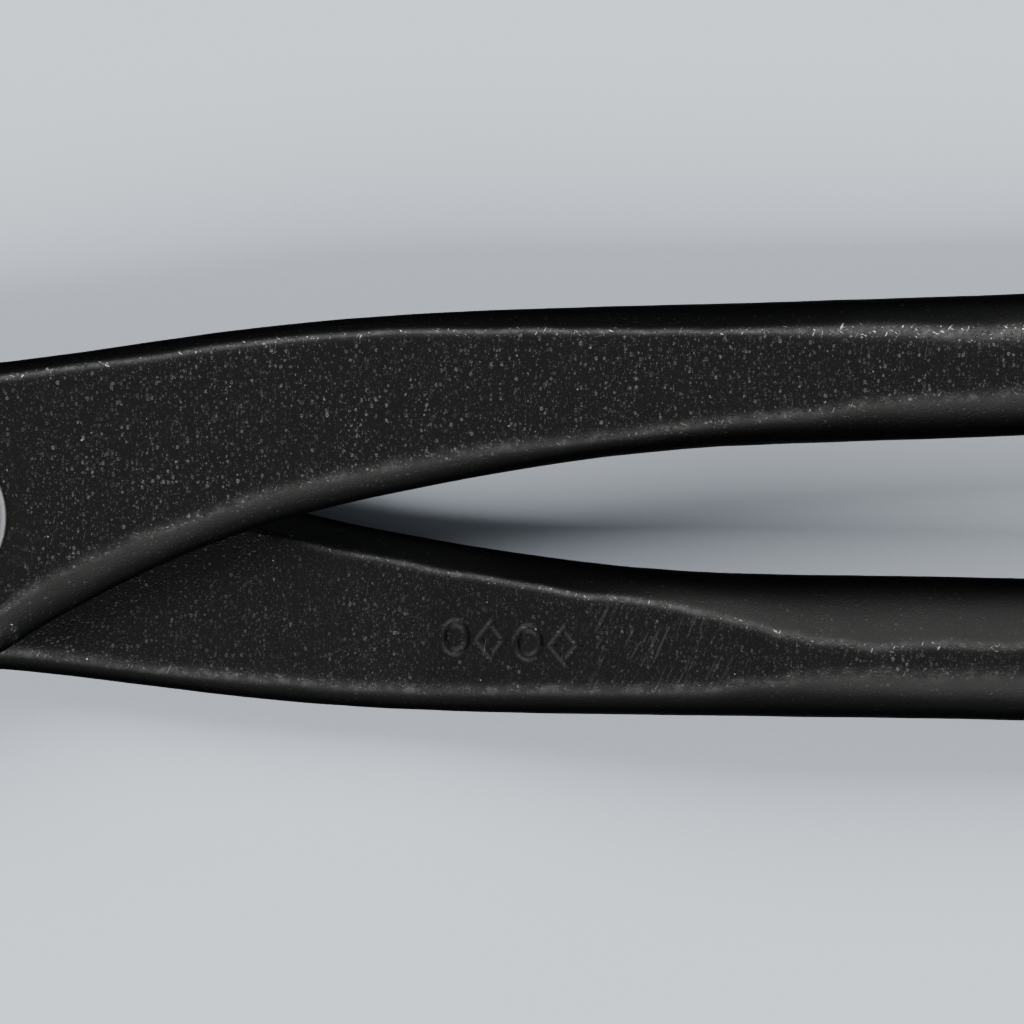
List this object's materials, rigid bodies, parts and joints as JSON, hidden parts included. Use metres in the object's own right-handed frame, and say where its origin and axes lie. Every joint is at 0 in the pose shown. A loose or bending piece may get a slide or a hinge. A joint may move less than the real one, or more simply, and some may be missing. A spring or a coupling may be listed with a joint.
{
  "type": "cuticle nipper",
  "caption": "Lap-joint hand nipper with black forged handles, angled cutting jaws, a domed pivot rivet and two leaf springs.",
  "frame": {"origin": "On the pivot axis, at the flat underside of the lap joint, which is the face the tool lies on.", "axes": "+X runs from the pivot along the handles, +Y is the side of the upper lever's handle, +Z runs from the underside up through the rivet head."},
  "size_m": [0.102, 0.0196, 0.0063],
  "materials": {
    "black_forged_steel": "forged steel with a black oxide skin, fine pits, edges rubbed bright",
    "polished_steel": "polished bright steel with fine turning marks",
    "washer_steel": "dull grey steel",
    "spring_steel": "satin spring steel",
    "screw_steel": "bright slotted screw"
  },
  "bodies": {
    "lower_half": {"lower_lever": "black_forged_steel", "pivot_rivet": "polished_steel", "top_washer": "washer_steel", "lower_leaf_spring": "spring_steel", "lower_spring_screw": "screw_steel"},
    "upper_half": {"upper_lever": "black_forged_steel", "upper_leaf_spring": "spring_steel", "upper_spring_screw": "screw_steel"}
  },
  "joints": [
    {"name": "pivot", "type": "hinge", "parent": "lower_half", "child": "upper_half", "pos_m": [0, 0, 0.0028], "axis": [0, 0, 1], "range_deg": [-5, 12], "stiffness_Nm_per_rad": 2, "deforming": ["upper_leaf_spring", "lower_leaf_spring"]}
  ]
}
